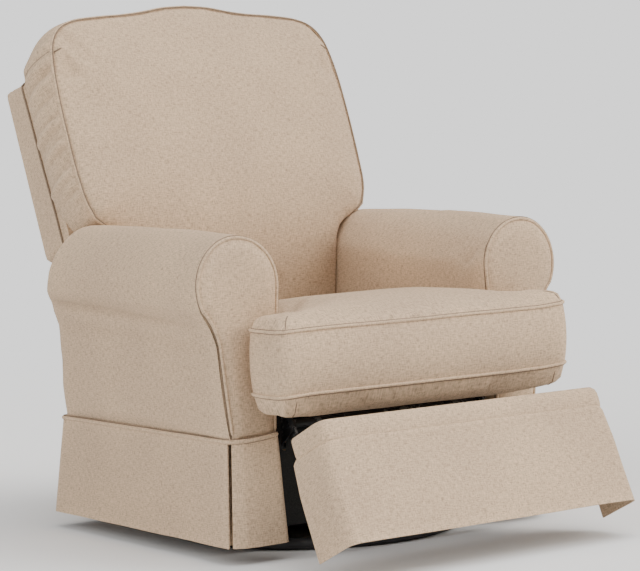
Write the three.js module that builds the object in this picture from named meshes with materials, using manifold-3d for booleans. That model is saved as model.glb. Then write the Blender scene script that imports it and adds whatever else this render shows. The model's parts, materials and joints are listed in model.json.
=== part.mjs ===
// Swivel glider recliner for a nursery: rolled arms, T-shaped seat cushion, boxed back with a
// camel top, skirted body and a skirted footrest, on a floor ring.
// Millimetres, +Z up, the front faces -Y, the seated person's right is -X.
// Everything is laid out around the swivel axis (x = y = 0, floor z = 0). The last lines move the
// chair so that the origin is the middle of its footprint box.
import * as THREE from 'three';
import { mergeVertices } from 'three/addons/utils/BufferGeometryUtils.js';
import Module from 'manifold-3d';

const wasm = await Module();
wasm.setup();

// ---- driving dimensions ---------------------------------------------------------------------

const GAP = 0.3;                 // air between touching pieces
const SIDES = { left: 1, right: -1 };

const ring = { midRadius: 290, tubeRadius: 12.5 };
const bars = { bottom: 9, top: 15, halfWidth: 20 };
const race = { inner: 30, outer: 105, height: 12 };
const swivelPlate = { halfX: 165, halfY: 120, thick: 6 };
const bolt = { radius: 10, headRadius: 18, headHeight: 9, bottom: 5 };

const glide = { pivotY: 90, upperZ: 185, length: 120, linkX: 171, linkThick: 5, linkRadius: 14 };
const tower = { x: 155, thick: 4, topZ: 200, footWidth: 34 };
const axle = { radius: 6, capRadius: 11, capThick: 5 };
const rail = { innerX: 190, outerX: 229.7, halfY: 200, bottom: 50, top: 80, wall: 3 };
const sidePlate = { x: 230, thick: 4 };
const seatRail = { bottom: 236, top: 278, thick: 25, frontY: -232, rearY: 225, outerX: 252 };

const seamZ = 230;               // welted seam between the body and its skirt
const arm = {
  frontY: -264, rearY: 386, baseInnerX: 271, baseOuterX: 369,
  rollX: 344, rollZ: 522, rollRadius: 91, rollEndY: 305,
};
const armPanel = { inset: 7, thick: 6 };
const skirt = { hemZ: 33, thick: 4, sideFlare: 18, frontFlare: 5, rearFlare: 26 };
const rearPanel = { topZ: 275, thick: 20 };
const cushion = {
  frontY: -418, earRearY: -277, rearY: 218, earX: 356, bodyX: 250,
  bottomZ: 288, topZ: 478, bevel: 20,
};

const back = { lean: 21, y: 247, z: 600, front: 14, seam: -118, rear: -203 };
const backPost = { innerX: 176, outerX: 212, bottom: -264, top: 392, front: -128, rear: -170 };
const backBracket = { x: 213, thick: 4, radius: 18, reach: 135 };
const reclinePivot = { y: 265, z: 290, radius: 7 };

const board = {
  lean: 25, y: -497, z: 288, height: 236, halfX: 330, returnDepth: 92,
  cloth: 3.5, pad: 20, wood: 18,
};
const knee = { radius: 6, linkRadius: 13, linkThick: 5, lowerX: 223, upperX: 216, reachX: 229 };
// Footrest linkage in the Y-Z plane with the board leaning 25 degrees: body pivot and knee.
const footPivot = { y: -250.3, z: 250.2, tubeRadius: 8 };
const footKnee = { y: -333.9, z: 85.4 };
const footBoardPivot = { down: 57.8, behind: 85.1 };

const lever = { y: -100, z: 258, x: 252.6, thick: 3, topZ: 415 };

// ---- materials ------------------------------------------------------------------------------

function material(color, roughness, metalness) {
  return new THREE.MeshStandardMaterial({ color, roughness, metalness });
}
const materials = {
  fabric: () => material(0xc4b19c, 0.95, 0.0),
  steel: () => material(0x17181a, 0.45, 0.8),
  spring: () => material(0x6d6f72, 0.4, 0.9),
  wood: () => material(0xb98f5e, 0.7, 0.0),
  foam: () => material(0xe9e1cf, 1.0, 0.0),
};

// ---- geometry helpers -----------------------------------------------------------------------

// A manifold solid from a closed three.js geometry.
function solid(geometry) {
  const bare = geometry.clone();
  bare.deleteAttribute('normal');
  bare.deleteAttribute('uv');
  const merged = mergeVertices(bare, 1e-4);
  const vertProperties = new Float32Array(merged.attributes.position.array);
  const triVerts = new Uint32Array(merged.index.array);
  return new wasm.Manifold(new wasm.Mesh({ numProp: 3, vertProperties, triVerts }));
}

// A three.js geometry from a manifold solid.
function geometryOf(manifold) {
  const mesh = manifold.getMesh();
  const geometry = new THREE.BufferGeometry();
  geometry.setAttribute('position', new THREE.BufferAttribute(new Float32Array(mesh.vertProperties), 3));
  geometry.setIndex(new THREE.BufferAttribute(new Uint32Array(mesh.triVerts), 1));
  return geometry;
}

function join(first, ...others) {
  return geometryOf(others.reduce((sum, other) => sum.add(solid(other)), solid(first)));
}

function cut(first, ...others) {
  return geometryOf(others.reduce((rest, other) => rest.subtract(solid(other)), solid(first)));
}

function overlap(first, second) {
  return geometryOf(solid(first).intersect(solid(second)));
}

// A box between two corners.
function box(x0, x1, y0, y1, z0, z1) {
  const geometry = new THREE.BoxGeometry(Math.abs(x1 - x0), Math.abs(y1 - y0), Math.abs(z1 - z0));
  return geometry.translate((x0 + x1) / 2, (y0 + y1) / 2, (z0 + z1) / 2);
}

function polygon(points) {
  return new THREE.Shape(points.map(([a, b]) => new THREE.Vector2(a, b)));
}

// Cuts holes, given as [a, b, radius], in a shape. Each is a twelve-sided hole whose flats lie at
// the radius, so that a round pin of that radius passes.
function drill(shape, holes) {
  const sides = 12;
  for (const [a, b, radius] of holes) {
    const corner = radius / Math.cos(Math.PI / sides);
    const points = [];
    for (let i = 0; i < sides; i += 1) {
      const angle = (-2 * Math.PI * i) / sides;
      points.push(new THREE.Vector2(a + corner * Math.cos(angle), b + corner * Math.sin(angle)));
    }
    shape.holes.push(new THREE.Path(points));
  }
  return shape;
}

function extrude(shape, depth, curveSegments = 5) {
  return new THREE.ExtrudeGeometry(shape, { depth, bevelEnabled: false, curveSegments });
}

// A shape drawn in (y, z), extruded along X from x0 to x1.
function alongX(shape, x0, x1, curveSegments) {
  const [low, high] = [Math.min(x0, x1), Math.max(x0, x1)];
  const geometry = extrude(shape, high - low, curveSegments);
  const axes = new THREE.Matrix4().makeBasis(
    new THREE.Vector3(0, 1, 0), new THREE.Vector3(0, 0, 1), new THREE.Vector3(1, 0, 0));
  return geometry.applyMatrix4(axes).translate(low, 0, 0);
}

// A shape drawn in (x, z), extruded along Y from y0 to y1.
function alongY(shape, y0, y1, curveSegments) {
  const geometry = extrude(shape, y1 - y0, curveSegments);
  const axes = new THREE.Matrix4().makeBasis(
    new THREE.Vector3(1, 0, 0), new THREE.Vector3(0, 0, 1), new THREE.Vector3(0, -1, 0));
  return geometry.applyMatrix4(axes).translate(0, y1, 0);
}

// A shape drawn in (x, y), extruded along Z from z0 to z1.
function alongZ(shape, z0, z1, curveSegments) {
  return extrude(shape, z1 - z0, curveSegments).translate(0, 0, z0);
}

// A body of revolution about Z from [radius, z] points, going up on its outer side.
function turned(points, segments = 32) {
  const profile = points.map(([radius, z]) => new THREE.Vector2(radius, z));
  return new THREE.LatheGeometry(profile, segments).rotateX(Math.PI / 2);
}

function ringSection(inner, outer, bottom, top) {
  return [[inner, bottom], [outer, bottom], [outer, top], [inner, top], [inner, bottom]];
}

// A rod along X between -halfLength and +halfLength, with a wider cap at each end.
function cappedRod(halfLength, radius, capRadius, capThick, y, z) {
  const neck = halfLength - capThick;
  const points = [
    [0, -halfLength], [capRadius, -halfLength], [capRadius, -neck], [radius, -neck],
    [radius, neck], [capRadius, neck], [capRadius, halfLength], [0, halfLength],
  ];
  return turned(points, 12).rotateY(Math.PI / 2).translate(0, y, z);
}

function rod(halfLength, radius, y, z) {
  const points = [[0, -halfLength], [radius, -halfLength], [radius, halfLength], [0, halfLength]];
  return turned(points, 12).rotateY(Math.PI / 2).translate(0, y, z);
}

// A flat link with round ends about two pivots, drawn in the plane of its shape, with two holes.
function linkShape([a0, b0], [a1, b1], radius, hole0, hole1) {
  const turn = Math.atan2(b1 - b0, a1 - a0);
  const shape = new THREE.Shape();
  shape.absarc(a0, b0, radius, turn + Math.PI / 2, turn + 1.5 * Math.PI, false);
  shape.absarc(a1, b1, radius, turn - Math.PI / 2, turn + Math.PI / 2, false);
  return drill(shape, [[a0, b0, hole0], [a1, b1, hole1]]);
}

// A cloth panel of even thickness that hangs from one plan line to another. Each line is a list
// of [x, y]; the cloth lies on its left-hand side, seen from above.
function hangingSheet(topLine, topZ, hemLine, hemZ, thick) {
  const rows = [];
  for (const [line, z] of [[topLine, topZ], [hemLine, hemZ]]) {
    rows.push(line.map(([x, y]) => [x, y, z]));
    rows.push(offsetLine(line, thick).map(([x, y]) => [x, y, z]));
  }
  const [topOuter, topInner, hemOuter, hemInner] = rows;
  const count = topLine.length;
  const points = [...topOuter, ...topInner, ...hemOuter, ...hemInner].flat();
  const index = [];
  const quad = (a, b, c, d) => index.push(a, b, c, a, c, d);
  const at = (row, i) => row * count + i;
  for (let i = 0; i + 1 < count; i += 1) {
    quad(at(0, i), at(2, i), at(2, i + 1), at(0, i + 1));
    quad(at(1, i + 1), at(3, i + 1), at(3, i), at(1, i));
    quad(at(0, i + 1), at(1, i + 1), at(1, i), at(0, i));
    quad(at(2, i), at(3, i), at(3, i + 1), at(2, i + 1));
  }
  const last = count - 1;
  quad(at(0, 0), at(1, 0), at(3, 0), at(2, 0));
  quad(at(0, last), at(2, last), at(3, last), at(1, last));
  const geometry = new THREE.BufferGeometry();
  geometry.setAttribute('position', new THREE.Float32BufferAttribute(points, 3));
  geometry.setIndex(index);
  return geometry;
}

// A plan line moved sideways to its left by a distance, mitred at its corners.
function offsetLine(line, distance) {
  const normals = line.slice(1).map(([x, y], i) => {
    const along = new THREE.Vector2(x - line[i][0], y - line[i][1]).normalize();
    return new THREE.Vector2(-along.y, along.x);
  });
  return line.map(([x, y], i) => {
    const before = normals[Math.max(i - 1, 0)];
    const after = normals[Math.min(i, normals.length - 1)];
    const mitre = before.clone().add(after).normalize();
    const scale = distance / mitre.dot(after);
    return [x + mitre.x * scale, y + mitre.y * scale];
  });
}

const mirrorX = (points) => points.map(([x, y]) => [-x, y]).reverse();

function mesh(name, geometry, finish) {
  const piece = new THREE.Mesh(geometry, materials[finish]());
  piece.name = name;
  return piece;
}

// A group whose local axes are X across, Y up a leaning face and Z out of it, towards the front.
function leaningGroup(degrees, y, z, pieces) {
  const group = new THREE.Group();
  group.rotation.x = Math.PI / 2 - THREE.MathUtils.degToRad(degrees);
  group.position.set(0, y, z);
  group.add(...pieces);
  return group;
}

// ---- base -----------------------------------------------------------------------------------

// The floor ring's tube has twelve flats, one of them flat on the floor.
function baseRing() {
  const flats = 12;
  const centreZ = ring.tubeRadius * Math.cos(Math.PI / flats);
  const section = [];
  for (let i = 0; i <= flats; i += 1) {
    const angle = (2 * Math.PI * (i + 0.5)) / flats;
    section.push([
      ring.midRadius + ring.tubeRadius * Math.cos(angle),
      centreZ + ring.tubeRadius * Math.sin(angle),
    ]);
  }
  section[flats] = section[0];
  return mesh('base_ring', turned(section, 48), 'steel');
}

function crossBars() {
  const half = bars.halfWidth;
  const ringInner = ring.midRadius - ring.tubeRadius - 2;
  const reach = Math.sqrt(ringInner ** 2 - half ** 2);
  const outline = polygon([
    [half, half], [half, reach], [-half, reach], [-half, half], [-reach, half], [-reach, -half],
    [-half, -half], [-half, -reach], [half, -reach], [half, -half], [reach, -half], [reach, half],
  ]);
  drill(outline, [[0, 0, bolt.radius + GAP]]);
  return mesh('base_cross_bars', alongZ(outline, bars.bottom, bars.top), 'steel');
}

const lowerRaceZ = bars.top + GAP;
const upperRaceZ = lowerRaceZ + race.height + GAP;
const plateZ = upperRaceZ + race.height + GAP;
const plateTop = plateZ + swivelPlate.thick;

function swivelRace(name, bottom) {
  const section = ringSection(race.inner, race.outer, bottom, bottom + race.height);
  return mesh(name, turned(section), 'steel');
}

// ---- swivel carrier -------------------------------------------------------------------------

function carrierPlate() {
  const { halfX, halfY, thick } = swivelPlate;
  const outline = polygon([[-halfX, -halfY], [halfX, -halfY], [halfX, halfY], [-halfX, halfY]]);
  drill(outline, [[0, 0, bolt.radius + GAP]]);
  return mesh('swivel_plate', alongZ(outline, plateZ, plateZ + thick), 'steel');
}

function centreBolt() {
  const headBottom = plateTop + GAP;
  const points = [
    [0, bolt.bottom], [bolt.radius, bolt.bottom], [bolt.radius, headBottom],
    [bolt.headRadius, headBottom], [bolt.headRadius, headBottom + bolt.headHeight],
    [0, headBottom + bolt.headHeight],
  ];
  return mesh('swivel_bolt', turned(points, 12), 'spring');
}

// An upright plate with two ears for the axles, welded to a foot on the swivel plate.
function glideTower(side, sign) {
  const bottom = plateTop + GAP;
  const halfFoot = swivelPlate.halfY - 8;
  const ear = glide.pivotY;
  const outline = polygon([
    [-halfFoot, bottom], [halfFoot, bottom], [ear + 16, tower.topZ - 5], [ear - 14, tower.topZ],
    [ear - 42, bottom + 64], [42 - ear, bottom + 64], [14 - ear, tower.topZ], [-ear - 16, tower.topZ - 5],
  ]);
  const hole = axle.radius + GAP;
  drill(outline, [[ear, glide.upperZ, hole], [-ear, glide.upperZ, hole]]);
  const plate = alongX(outline, sign * tower.x, sign * (tower.x + tower.thick));
  const innerX = sign * (tower.x - tower.footWidth);
  const foot = box(innerX, sign * (tower.x + 1), -halfFoot, halfFoot, bottom, bottom + tower.thick);
  return mesh(`glide_tower_${side}`, join(plate, foot), 'steel');
}

function glideAxle(end, y) {
  const halfLength = glide.linkX + glide.linkThick + 1 + axle.capThick;
  const shape = cappedRod(halfLength, axle.radius, axle.capRadius, axle.capThick, y, glide.upperZ);
  return mesh(`glide_axle_${end}`, shape, 'spring');
}

function glideLink(end, y, side, sign) {
  const hole = axle.radius + GAP;
  const lowerZ = glide.upperZ - glide.length;
  const outline = linkShape([y, glide.upperZ], [y, lowerZ], glide.linkRadius, hole, hole);
  const shape = alongX(outline, sign * glide.linkX, sign * (glide.linkX + glide.linkThick));
  return mesh(`glide_link_${end}_${side}`, shape, 'steel');
}

// ---- seat frame -----------------------------------------------------------------------------

// A box-section rail hung on the glide links by two capped studs.
function carriageRail(side, sign) {
  const { innerX, outerX, bottom, top, wall, halfY } = rail;
  const section = polygon([[innerX, bottom], [outerX, bottom], [outerX, top], [innerX, top]]);
  section.holes.push(new THREE.Path([
    new THREE.Vector2(innerX + wall, bottom + wall), new THREE.Vector2(innerX + wall, top - wall),
    new THREE.Vector2(outerX - wall, top - wall), new THREE.Vector2(outerX - wall, bottom + wall),
  ]));
  const pieces = [alongY(section, -halfY, halfY)];
  const z = glide.upperZ - glide.length;
  for (const y of [-glide.pivotY, glide.pivotY]) {
    const capX = glide.linkX - 1;
    const stud = [
      [0, capX - axle.capThick], [axle.capRadius, capX - axle.capThick], [axle.capRadius, capX],
      [axle.radius, capX], [axle.radius, innerX + 1], [0, innerX + 1],
    ];
    pieces.push(turned(stud, 12).rotateY(Math.PI / 2).translate(0, y, z));
  }
  const shape = join(...pieces);
  return mesh(`carriage_rail_${side}`, sign > 0 ? shape : mirrored(shape), 'steel');
}

// The same solid on the other side of the chair.
function mirrored(geometry) {
  return geometryOf(solid(geometry).mirror([1, 0, 0]));
}

// The stamped plate that carries the recline pivot and the footrest pivot.
function mechanismPlate(side, sign) {
  const outline = polygon([
    [-200, rail.bottom], [200, rail.bottom], [235, 150], [276, 268], [284, 290], [279, 303],
    [265, 309], [244, 302], [228, 272], [-255, 272], [-269, 258], [-266, 238], [-225, 205],
  ]);
  drill(outline, [
    [footPivot.y, footPivot.z, footPivot.tubeRadius + GAP],
    [reclinePivot.y, reclinePivot.z, reclinePivot.radius + GAP],
  ]);
  const shape = alongX(outline, sign * sidePlate.x, sign * (sidePlate.x + sidePlate.thick), 4);
  return mesh(`mechanism_plate_${side}`, shape, 'steel');
}

function seatRails() {
  const { bottom, top, thick, frontY, rearY, outerX } = seatRail;
  const insideX = sidePlate.x - GAP;
  const sideX = sidePlate.x + sidePlate.thick + GAP;
  return [
    mesh('seat_rail_front', box(-insideX, insideX, frontY, frontY + thick, bottom, top), 'wood'),
    mesh('seat_rail_rear', box(-insideX, insideX, rearY - thick, rearY, bottom, top), 'wood'),
    mesh('seat_rail_left', box(sideX, outerX, frontY, rearY, bottom, top), 'wood'),
    mesh('seat_rail_right', box(-sideX, -outerX, frontY, rearY, bottom, top), 'wood'),
  ];
}

// A zigzag wire stretched between the front and rear seat rails.
function seatSpring(name, x) {
  const wireRadius = 2;
  const bends = 11;
  const start = seatRail.frontY + seatRail.thick + wireRadius + 1;
  const end = seatRail.rearY - seatRail.thick - wireRadius - 1;
  const z = seatRail.top - 8;
  const points = [];
  for (let i = 0; i <= bends; i += 1) {
    const y = start + ((end - start) * i) / bends;
    points.push(new THREE.Vector3(x + (i % 2 ? 24 : -24), y, z));
  }
  const section = new THREE.Shape().absarc(0, 0, wireRadius, 0, 2 * Math.PI, false);
  const wire = new THREE.ExtrudeGeometry(section, {
    steps: 4 * bends, curveSegments: 3, bevelEnabled: false,
    extrudePath: new THREE.CatmullRomCurve3(points, false, 'centripetal'),
  });
  return mesh(name, wire, 'spring');
}

// ---- arms -----------------------------------------------------------------------------------

// The rolled arm seen from the front, on the left side, drawn in (x, z).
function armOutline(inset) {
  const { baseInnerX, baseOuterX, rollX, rollZ, rollRadius } = arm;
  const radius = rollRadius - inset;
  const bottom = seamZ + 1;
  const neckAngle = -25 * Math.PI / 180;
  const outline = new THREE.Shape();
  outline.moveTo(baseInnerX + inset, bottom);
  outline.lineTo(baseOuterX - inset, bottom);
  outline.quadraticCurveTo(380 - inset, 330, 391 - inset, 405);
  outline.quadraticCurveTo(
    399 - inset, 447, rollX + radius * Math.cos(neckAngle), rollZ + radius * Math.sin(neckAngle));
  outline.absarc(rollX, rollZ, radius, neckAngle, Math.PI, false);
  return outline;
}

// The side view of everything behind the arm's sloping rear edge, drawn in (y, z).
function behindArm() {
  const { rearY, rollEndY, rollZ } = arm;
  return polygon([
    [rearY, 300], [rearY - 32, 400], [rollEndY, rollZ + 8], [rollEndY, 700],
    [rearY + 60, 700], [rearY + 60, 300],
  ]);
}

// The plywood panel inside an arm, drawn in (y, z) and grown by a margin.
function armFrameSide(margin) {
  return polygon([
    [-246 - margin, seamZ - 4 - margin], [350 + margin, seamZ - 4 - margin],
    [350 + margin, 300 + margin], [286 + margin, 470 + margin], [-246 - margin, 470 + margin],
  ]);
}

function armPieces(side, sign) {
  const place = (geometry) => (sign > 0 ? geometry : mirrored(geometry));
  const [frameInner, frameOuter] = [302, 320];
  const frame = alongX(armFrameSide(0), frameInner, frameOuter);
  const pocket = alongX(armFrameSide(GAP), frameInner - GAP, frameOuter + GAP);
  const block = alongY(armOutline(0), arm.frontY, arm.rearY, 8);
  const pad = cut(block, alongX(behindArm(), 200, 500), pocket);
  const panelFront = arm.frontY - GAP - armPanel.thick;
  const panel = alongY(armOutline(armPanel.inset), panelFront, arm.frontY - GAP, 8);
  return [
    mesh(`arm_frame_${side}`, place(join(frame)), 'wood'),
    mesh(`arm_pad_${side}`, place(pad), 'fabric'),
    mesh(`arm_panel_${side}`, place(join(panel)), 'fabric'),
  ];
}

// ---- skirt and rear panel -------------------------------------------------------------------

// Each side skirt hangs from the seam along the arm's side and turns the corner onto its front.
function sideSkirt(side, sign) {
  const { sideFlare, frontFlare, rearFlare, thick, hemZ } = skirt;
  const front = arm.frontY - armPanel.thick;
  const [inner, outer, rear] = [arm.baseInnerX + 2, arm.baseOuterX + 2, arm.rearY];
  const top = [[outer, rear], [outer, front], [inner, front]];
  const hem = [
    [outer + sideFlare, rear + rearFlare - 4], [outer + sideFlare, front - frontFlare],
    [inner, front - frontFlare],
  ];
  const lines = [top.reverse(), hem.reverse()];
  const [topLine, hemLine] = sign > 0 ? lines : lines.map(mirrorX);
  return mesh(`skirt_${side}`, hangingSheet(topLine, seamZ - GAP, hemLine, hemZ, thick), 'fabric');
}

function rearSkirt() {
  const { sideFlare, rearFlare, thick, hemZ } = skirt;
  const halfTop = arm.baseOuterX - thick;
  const halfHem = arm.baseOuterX + sideFlare - thick;
  const topLine = [[halfTop, arm.rearY], [-halfTop, arm.rearY]];
  const hemLine = [[halfHem, arm.rearY + rearFlare], [-halfHem, arm.rearY + rearFlare]];
  return mesh('skirt_rear', hangingSheet(topLine, seamZ - GAP, hemLine, hemZ, thick), 'fabric');
}

function lowerRearPanel() {
  const halfX = arm.baseInnerX - 6;
  const shape = box(-halfX, halfX, arm.rearY - rearPanel.thick, arm.rearY, seamZ + 1, rearPanel.topZ);
  return mesh('rear_panel', shape, 'fabric');
}

// ---- seat cushion ---------------------------------------------------------------------------

function seatCushion() {
  const { frontY, earRearY, rearY, earX, bodyX, bottomZ, topZ, bevel } = cushion;
  const half = [
    [bodyX - bevel, rearY - bevel], [bodyX - bevel, earRearY - bevel], [earX - bevel, earRearY - bevel],
    [earX - bevel, frontY + bevel],
  ];
  const outline = polygon([...mirrorX(half), ...half].reverse());
  const body = new THREE.ExtrudeGeometry(outline, {
    depth: topZ - bottomZ - 2 * bevel, bevelThickness: bevel, bevelSize: bevel, bevelSegments: 2,
  });
  return mesh('seat_cushion', body.translate(0, 0, bottomZ + bevel), 'fabric');
}

// ---- back -----------------------------------------------------------------------------------

// The boxed back cushion from the front: narrow between the arms, wings over them, camel top.
function backOutline() {
  const half = [
    [250, -270], [250, 0], [300, 30], [337, 50], [357, 140], [360, 230], [360, 340],
    [352, 415], [326, 462], [286, 490], [230, 498], [150, 504], [80, 514], [0, 521],
  ];
  return polygon([...half, ...mirrorX(half).slice(1)]);
}

// Its side profile in (up, out): below the wings the front drops straight down behind the seat.
function backProfile() {
  return polygon([
    [540, back.front], [12, back.front], [-225, -77], [-225, back.seam], [540, back.seam],
  ].reverse());
}

function backCushion() {
  const block = alongZ(backOutline(), back.seam, back.front);
  const profile = extrude(backProfile(), 800).translate(0, 0, -400);
  const axes = new THREE.Matrix4().makeBasis(
    new THREE.Vector3(0, 1, 0), new THREE.Vector3(0, 0, 1), new THREE.Vector3(1, 0, 0));
  return mesh('back_cushion', overlap(block, profile.applyMatrix4(axes)), 'fabric');
}

function backPostSolid(sign, margin) {
  const { innerX, outerX, bottom, top, front, rear } = backPost;
  return box(sign * (innerX - margin), sign * (outerX + margin), bottom - margin, top + margin,
    rear - margin, front + margin);
}

function backRailSolid(bottom, top, margin) {
  const { innerX, front, rear } = backPost;
  const halfX = innerX - GAP + margin;
  return box(-halfX, halfX, bottom - margin, top + margin, rear - margin, front + margin);
}

const backRails = { top: [345, 385], bottom: [-232, -192] };

// The upholstered outside of the back, narrow between the arms and full width above them, with
// channels that fit the frame's posts and rails.
function outsideBack() {
  const half = [
    [248, -262], [248, -20], [300, 10], [345, 22], [358, 34], [360, 200], [360, 385], [345, 405],
    [200, 412], [0, 416],
  ];
  const outline = polygon([...half, ...mirrorX(half).slice(1)]);
  const block = alongZ(outline, back.rear, back.seam - GAP);
  const channels = [];
  for (const sign of Object.values(SIDES)) {
    channels.push(backPostSolid(sign, 0.5));
    const [inner, outer] = [backBracket.x - 2, backBracket.x + backBracket.thick + 0.5];
    channels.push(box(sign * inner, sign * outer, backPost.bottom, -120, backPost.rear, back.seam + 1));
  }
  for (const [bottom, top] of Object.values(backRails)) {
    channels.push(backRailSolid(bottom, top, 0.5));
  }
  return mesh('outside_back', cut(block, ...channels), 'fabric');
}

// A flat steel bracket from the recline pivot up the side of a post, drawn in (up, out).
function hingeBracket(side, sign) {
  const lean = THREE.MathUtils.degToRad(back.lean);
  const dy = reclinePivot.y - back.y;
  const dz = reclinePivot.z - back.z;
  const up = dy * Math.sin(lean) + dz * Math.cos(lean);
  const out = dz * Math.sin(lean) - dy * Math.cos(lean);
  const far = [up + backBracket.reach, (backPost.front + backPost.rear) / 2];
  const outline = linkShape([up, out], far, backBracket.radius, reclinePivot.radius + GAP, 4);
  const shape = alongX(outline, sign * backBracket.x, sign * (backBracket.x + backBracket.thick));
  return mesh(`back_bracket_${side}`, shape, 'steel');
}

function backGroup() {
  const pieces = [
    backCushion(),
    outsideBack(),
    mesh('back_rail_top', backRailSolid(...backRails.top, 0), 'wood'),
    mesh('back_rail_bottom', backRailSolid(...backRails.bottom, 0), 'wood'),
  ];
  for (const [side, sign] of Object.entries(SIDES)) {
    pieces.push(mesh(`back_post_${side}`, backPostSolid(sign, 0), 'wood'));
    pieces.push(hingeBracket(side, sign));
  }
  return leaningGroup(back.lean, back.y, back.z, pieces);
}

function reclineRod() {
  const halfLength = sidePlate.x + sidePlate.thick + 4;
  return mesh('back_pivot_rod', rod(halfLength, reclinePivot.radius, reclinePivot.y, reclinePivot.z), 'spring');
}

// ---- footrest -------------------------------------------------------------------------------

// A point given down and behind the leaning footrest face, in (y, z).
function behindFace(down, behind) {
  const lean = THREE.MathUtils.degToRad(board.lean);
  return [
    board.y - down * Math.sin(lean) + behind * Math.cos(lean),
    board.z - down * Math.cos(lean) - behind * Math.sin(lean),
  ];
}

function footrestRods() {
  const [pivotY, pivotZ] = behindFace(footBoardPivot.down, footBoardPivot.behind);
  const tubeHalf = sidePlate.x + sidePlate.thick + 3;
  return [
    mesh('footrest_torque_tube', rod(tubeHalf, footPivot.tubeRadius, footPivot.y, footPivot.z), 'steel'),
    mesh('footrest_knee_rod', rod(knee.reachX, knee.radius, footKnee.y, footKnee.z), 'steel'),
    mesh('footrest_board_rod', rod(knee.reachX, knee.radius, pivotY, pivotZ), 'steel'),
  ];
}

function footrestLinks(side, sign) {
  const hole = knee.radius + GAP;
  const pivot = [footPivot.y, footPivot.z];
  const middle = [footKnee.y, footKnee.z];
  const end = behindFace(footBoardPivot.down, footBoardPivot.behind);
  const lower = linkShape(pivot, middle, knee.linkRadius, footPivot.tubeRadius + GAP, hole);
  const upper = linkShape(middle, end, knee.linkRadius, hole, hole);
  const span = (x) => [sign * x, sign * (x + knee.linkThick)];
  return [
    mesh(`footrest_lower_link_${side}`, alongX(lower, ...span(knee.lowerX)), 'steel'),
    mesh(`footrest_upper_link_${side}`, alongX(upper, ...span(knee.upperX)), 'steel'),
  ];
}

// The bracket on the back of the board, drawn in (up, out) of the leaning face.
function boardBracket(side, sign) {
  const { down, behind } = footBoardPivot;
  const plateOut = -(board.cloth + board.pad + board.wood + 1);
  const outline = polygon([
    [-20, plateOut], [-100, plateOut], [-74, -behind - 6], [-62, -behind - 14],
    [-50, -behind - 12], [-42, -behind],
  ]);
  drill(outline, [[-down, -behind, knee.radius + GAP]]);
  const shape = alongX(outline, sign * knee.lowerX, sign * (knee.lowerX + knee.linkThick));
  return mesh(`footrest_bracket_${side}`, shape, 'steel');
}

// The cloth over the footrest: its face and the two side returns, in plan (x, out) of the face.
function footrestSkirt() {
  const { halfX, returnDepth, height, cloth } = board;
  const line = [[-halfX, returnDepth], [-halfX, 0], [halfX, 0], [halfX, returnDepth]];
  const shape = hangingSheet(line, 0, line, -height, cloth);
  return mesh('footrest_skirt', shape.rotateX(-Math.PI / 2), 'fabric');
}

function footrestGroup() {
  const { halfX, height, cloth, pad, wood } = board;
  const padFront = -cloth - GAP;
  const padRear = padFront - pad;
  const boardFront = padRear - GAP;
  const padX = halfX - cloth - 2;
  const boardX = padX - 15;
  const pieces = [
    mesh('footrest_pad', box(-padX, padX, -height + 6, -4, padRear, padFront), 'foam'),
    mesh('footrest_board', box(-boardX, boardX, -height + 24, -10, boardFront - wood, boardFront), 'wood'),
    footrestSkirt(),
  ];
  for (const [side, sign] of Object.entries(SIDES)) {
    pieces.push(boardBracket(side, sign));
  }
  return leaningGroup(board.lean, board.y, board.z, pieces);
}

// ---- release lever --------------------------------------------------------------------------

// A flat lever with a pivot pin, in the crack between the cushion and the right arm.
function releaseLever() {
  const { x, thick, y, z, topZ } = lever;
  const outline = polygon([
    [y - 12, z - 8], [y + 12, z - 8], [y + 14, z + 30], [y + 34, topZ - 20], [y + 32, topZ],
    [y - 12, topZ], [y - 14, topZ - 20], [y - 14, z + 30],
  ]);
  return mesh('release_lever', alongX(outline, -x, -(x + thick)), 'steel');
}

// ---- the whole chair ------------------------------------------------------------------------

const chair = new THREE.Group();
chair.add(
  baseRing(), crossBars(), swivelRace('swivel_race_lower', lowerRaceZ),
  swivelRace('swivel_race_upper', upperRaceZ), carrierPlate(), centreBolt(),
  ...seatRails(), rearSkirt(), lowerRearPanel(), seatCushion(), backGroup(), reclineRod(),
  ...footrestRods(), footrestGroup(), releaseLever(),
);
for (const [end, y] of [['front', -glide.pivotY], ['rear', glide.pivotY]]) {
  chair.add(glideAxle(end, y));
  for (const [side, sign] of Object.entries(SIDES)) {
    chair.add(glideLink(end, y, side, sign));
  }
}
for (const [name, x] of [['left', 130], ['middle', 0], ['right', -130]]) {
  chair.add(seatSpring(`seat_spring_${name}`, x));
}
for (const [side, sign] of Object.entries(SIDES)) {
  chair.add(glideTower(side, sign), carriageRail(side, sign), mechanismPlate(side, sign));
  chair.add(...armPieces(side, sign), sideSkirt(side, sign), ...footrestLinks(side, sign));
}

// The origin is the middle of the chair's box, on the floor.
const middle = new THREE.Box3().setFromObject(chair).getCenter(new THREE.Vector3());
chair.position.y = -middle.y;

export default chair;
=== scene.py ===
"""Looks of the glider nursery chair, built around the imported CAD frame.

Metres, in a frame with the swivel axis at x = y = 0 and the floor at z = 0. The front faces -Y.
make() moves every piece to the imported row's own origin.
"""

import json
import math

import bmesh
import bpy
import numpy as np
from mathutils import Matrix, Vector, noise
from mathutils.geometry import delaunay_2d_cdt
from mathutils.kdtree import KDTree


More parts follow.
